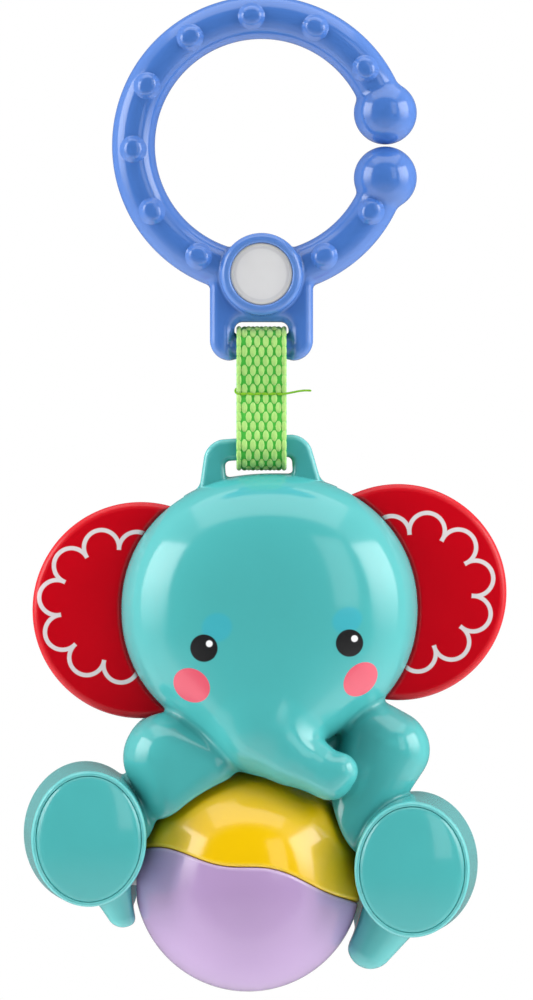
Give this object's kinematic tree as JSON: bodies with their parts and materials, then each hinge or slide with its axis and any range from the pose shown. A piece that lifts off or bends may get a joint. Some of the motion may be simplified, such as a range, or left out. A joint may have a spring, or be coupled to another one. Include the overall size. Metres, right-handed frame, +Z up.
{
  "type": "elephant rattle",
  "caption": "Hanging baby rattle: a sitting elephant with rocking ears hugs a spinning two-colour ball, on a webbing loop under a clip-on ring with teething bumps.",
  "frame": {"origin": "centre of the clip ring, on the joint plane of the toy", "axes": "+X to the viewer's right, -Y out of the elephant's face, +Z up along the hanging toy"},
  "size_m": [0.0963, 0.0454, 0.199],
  "materials": {
    "ring_blue": "gloss",
    "disc_white": "gloss",
    "webbing_lime": "woven",
    "thread_lime": "spun",
    "shell_teal": "gloss",
    "ear_red": "gloss",
    "ball_yellow": "gloss",
    "ball_lilac": "gloss",
    "pin_steel": "bright",
    "bead_orange": "gloss"
  },
  "bodies": {
    "ring": {"clip_ring": "ring_blue", "hub_disc": "disc_white"},
    "strap_loop": {"strap": "webbing_lime", "strap_stitch": "thread_lime"},
    "elephant": {"front_shell": "shell_teal", "rear_shell": "shell_teal", "left_sole": "shell_teal", "right_sole": "shell_teal", "ear_pivot_pin": "pin_steel", "ball_axle": "pin_steel", "shell_screws": "pin_steel"},
    "ears": {"ear_yoke": "ear_red"},
    "ball": {"ball_upper": "ball_yellow", "ball_lower": "ball_lilac"},
    "beads": {"rattle_beads": "bead_orange"}
  },
  "joints": [
    {"name": "strap_swing", "type": "hinge", "parent": "ring", "child": "strap_loop", "pos_m": [0, 0, -0.0402], "axis": [1, 0, 0], "range_deg": [-70, 70]},
    {"name": "toy_swing", "type": "hinge", "parent": "strap_loop", "child": "elephant", "pos_m": [0, 0, -0.0605], "axis": [1, 0, 0], "range_deg": [-60, 60]},
    {"name": "ear_rock", "type": "hinge", "parent": "elephant", "child": "ears", "pos_m": [0.0016, 0, -0.0911], "axis": [0, -1, 0], "range_deg": [-5, 5]},
    {"name": "ball_spin", "type": "hinge", "parent": "elephant", "child": "ball", "pos_m": [-0.0027, 0, -0.1464], "axis": [1, 0, 0], "continuous": true},
    {"name": "bead_roll", "type": "hinge", "parent": "ball", "child": "beads", "pos_m": [-0.0027, 0, -0.1464], "axis": [1, 0, 0], "continuous": true}
  ]
}
